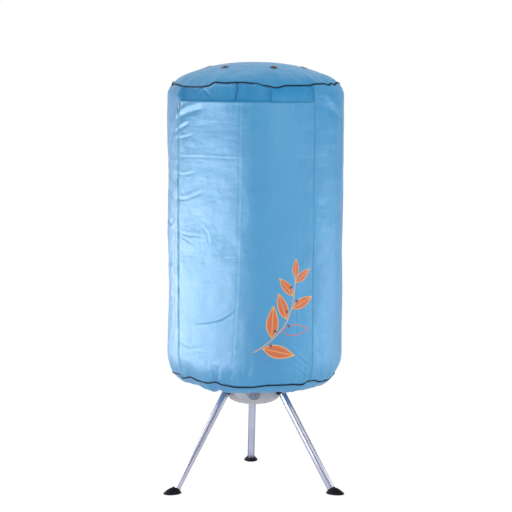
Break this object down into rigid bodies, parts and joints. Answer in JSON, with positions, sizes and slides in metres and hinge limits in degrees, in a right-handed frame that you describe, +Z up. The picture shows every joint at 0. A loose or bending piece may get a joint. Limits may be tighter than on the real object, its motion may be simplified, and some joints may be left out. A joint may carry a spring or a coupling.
{
  "type": "portable clothes dryer",
  "caption": "Free-standing drum-shaped nylon clothes dryer: a zipped cover round a mast with fold-out hanging arms, over a fan heater on a splayed tripod.",
  "frame": {"origin": "on the floor, under the middle of the bounding box", "axes": "+Z up along the mast, -Y towards the front with the timer knob and the zipped door, +X to the right of someone facing the front"},
  "size_m": [0.6166, 0.6552, 1.4605],
  "materials": {
    "nylon_blue": "satin woven nylon",
    "piping_black": "matt corded tape",
    "zip_turquoise": "moulded coil on woven tape",
    "leg_aluminium": "bright anodised",
    "foot_rubber": "moulded, satin",
    "housing_grey": "fine moulded grain",
    "knob_grey": "satin",
    "eyelet_brass": "antique",
    "plated_steel": "zinc plated",
    "heater_ceramic": "ceramic stones in aluminium fins",
    "arm_white": "satin",
    "fan_black": "satin"
  },
  "bodies": {
    "dryer_frame": {"cover_roof": "nylon_blue", "cover_header": "nylon_blue", "cover_side_left": "nylon_blue", "cover_back": "nylon_blue", "cover_side_right": "nylon_blue", "cover_skirt": "nylon_blue", "skirt_hem": "piping_black", "piping_top": "piping_black", "piping_bottom": "piping_black", "zip_tape": "zip_turquoise", "roof_eyelet_1": "eyelet_brass", "roof_eyelet_2": "eyelet_brass", "roof_eyelet_3": "eyelet_brass", "roof_eyelet_4": "eyelet_brass", "roof_eyelet_5": "eyelet_brass", "roof_eyelet_6": "eyelet_brass", "leg_tube_1": "leg_aluminium", "leg_tube_2": "leg_aluminium", "leg_tube_3": "leg_aluminium", "leg_bush_1": "foot_rubber", "leg_bush_2": "foot_rubber", "leg_bush_3": "foot_rubber", "leg_foot_1": "foot_rubber", "leg_foot_2": "foot_rubber", "leg_foot_3": "foot_rubber", "base_bowl": "housing_grey", "base_drum": "housing_grey", "outlet_grille": "housing_grey", "timer_bezel": "housing_grey", "timer_body": "knob_grey", "mains_inlet": "foot_rubber", "motor": "plated_steel", "motor_bracket": "plated_steel", "heater_frame": "plated_steel", "heater_element": "heater_ceramic", "thermal_cutout": "eyelet_brass", "mast_lower": "leg_aluminium", "mast_upper": "leg_aluminium", "mast_coupler": "arm_white", "mast_cap": "arm_white", "rack_hub_upper": "arm_white", "rack_hub_lower": "arm_white"},
    "timer_control": {"timer_knob": "knob_grey", "timer_shaft": "plated_steel"},
    "fan": {"fan_rotor": "fan_black", "motor_shaft": "plated_steel"},
    "door": {"cover_door": "nylon_blue"},
    "zip_pull": {"zip_slider": "plated_steel"},
    "arm_upper_1": {"rack_arm_upper_1": "arm_white"},
    "arm_upper_2": {"rack_arm_upper_2": "arm_white"},
    "arm_upper_3": {"rack_arm_upper_3": "arm_white"},
    "arm_upper_4": {"rack_arm_upper_4": "arm_white"},
    "arm_upper_5": {"rack_arm_upper_5": "arm_white"},
    "arm_upper_6": {"rack_arm_upper_6": "arm_white"},
    "arm_lower_1": {"rack_arm_lower_1": "arm_white"},
    "arm_lower_2": {"rack_arm_lower_2": "arm_white"},
    "arm_lower_3": {"rack_arm_lower_3": "arm_white"},
    "arm_lower_4": {"rack_arm_lower_4": "arm_white"},
    "arm_lower_5": {"rack_arm_lower_5": "arm_white"},
    "arm_lower_6": {"rack_arm_lower_6": "arm_white"}
  },
  "joints": [
    {"name": "door_swing", "type": "hinge", "parent": "dryer_frame", "child": "door", "pos_m": [0.1888, -0.25964, 0.86], "axis": [0, 0, 1], "range_deg": [0, 110]},
    {"name": "zip_slide", "type": "slide", "parent": "dryer_frame", "child": "zip_pull", "axis": [0, 0, -1], "range_m": [0, 0.84]},
    {"name": "timer_turn", "type": "hinge", "parent": "dryer_frame", "child": "timer_control", "pos_m": [0, -0.116, 0.334], "axis": [0, 1, 0], "range_deg": [0, 300]},
    {"name": "fan_spin", "type": "hinge", "parent": "dryer_frame", "child": "fan", "pos_m": [0, -0.0265, 0.38], "axis": [0, 0, 1], "continuous": true},
    {"name": "fold_upper_1", "type": "hinge", "parent": "dryer_frame", "child": "arm_upper_1", "pos_m": [0, -0.0605, 1.352], "axis": [1, 0, 0], "range_deg": [0, 78]},
    {"name": "fold_upper_2", "type": "hinge", "parent": "dryer_frame", "child": "arm_upper_2", "pos_m": [0.02944, -0.0435, 1.352], "axis": [0.5, 0.866, 0], "range_deg": [0, 78]},
    {"name": "fold_upper_3", "type": "hinge", "parent": "dryer_frame", "child": "arm_upper_3", "pos_m": [0.02944, -0.0095, 1.352], "axis": [-0.5, 0.866, 0], "range_deg": [0, 78]},
    {"name": "fold_upper_4", "type": "hinge", "parent": "dryer_frame", "child": "arm_upper_4", "pos_m": [0, 0.0075, 1.352], "axis": [-1, 0, 0], "range_deg": [0, 78]},
    {"name": "fold_upper_5", "type": "hinge", "parent": "dryer_frame", "child": "arm_upper_5", "pos_m": [-0.02944, -0.0095, 1.352], "axis": [-0.5, -0.866, 0], "range_deg": [0, 78]},
    {"name": "fold_upper_6", "type": "hinge", "parent": "dryer_frame", "child": "arm_upper_6", "pos_m": [-0.02944, -0.0435, 1.352], "axis": [0.5, -0.866, 0], "range_deg": [0, 78]},
    {"name": "fold_lower_1", "type": "hinge", "parent": "dryer_frame", "child": "arm_lower_1", "pos_m": [0, -0.0605, 0.68], "axis": [1, 0, 0], "range_deg": [0, 78]},
    {"name": "fold_lower_2", "type": "hinge", "parent": "dryer_frame", "child": "arm_lower_2", "pos_m": [0.02944, -0.0435, 0.68], "axis": [0.5, 0.866, 0], "range_deg": [0, 78]},
    {"name": "fold_lower_3", "type": "hinge", "parent": "dryer_frame", "child": "arm_lower_3", "pos_m": [0.02944, -0.0095, 0.68], "axis": [-0.5, 0.866, 0], "range_deg": [0, 78]},
    {"name": "fold_lower_4", "type": "hinge", "parent": "dryer_frame", "child": "arm_lower_4", "pos_m": [0, 0.0075, 0.68], "axis": [-1, 0, 0], "range_deg": [0, 78]},
    {"name": "fold_lower_5", "type": "hinge", "parent": "dryer_frame", "child": "arm_lower_5", "pos_m": [-0.02944, -0.0095, 0.68], "axis": [-0.5, -0.866, 0], "range_deg": [0, 78]},
    {"name": "fold_lower_6", "type": "hinge", "parent": "dryer_frame", "child": "arm_lower_6", "pos_m": [-0.02944, -0.0435, 0.68], "axis": [0.5, -0.866, 0], "range_deg": [0, 78]}
  ]
}
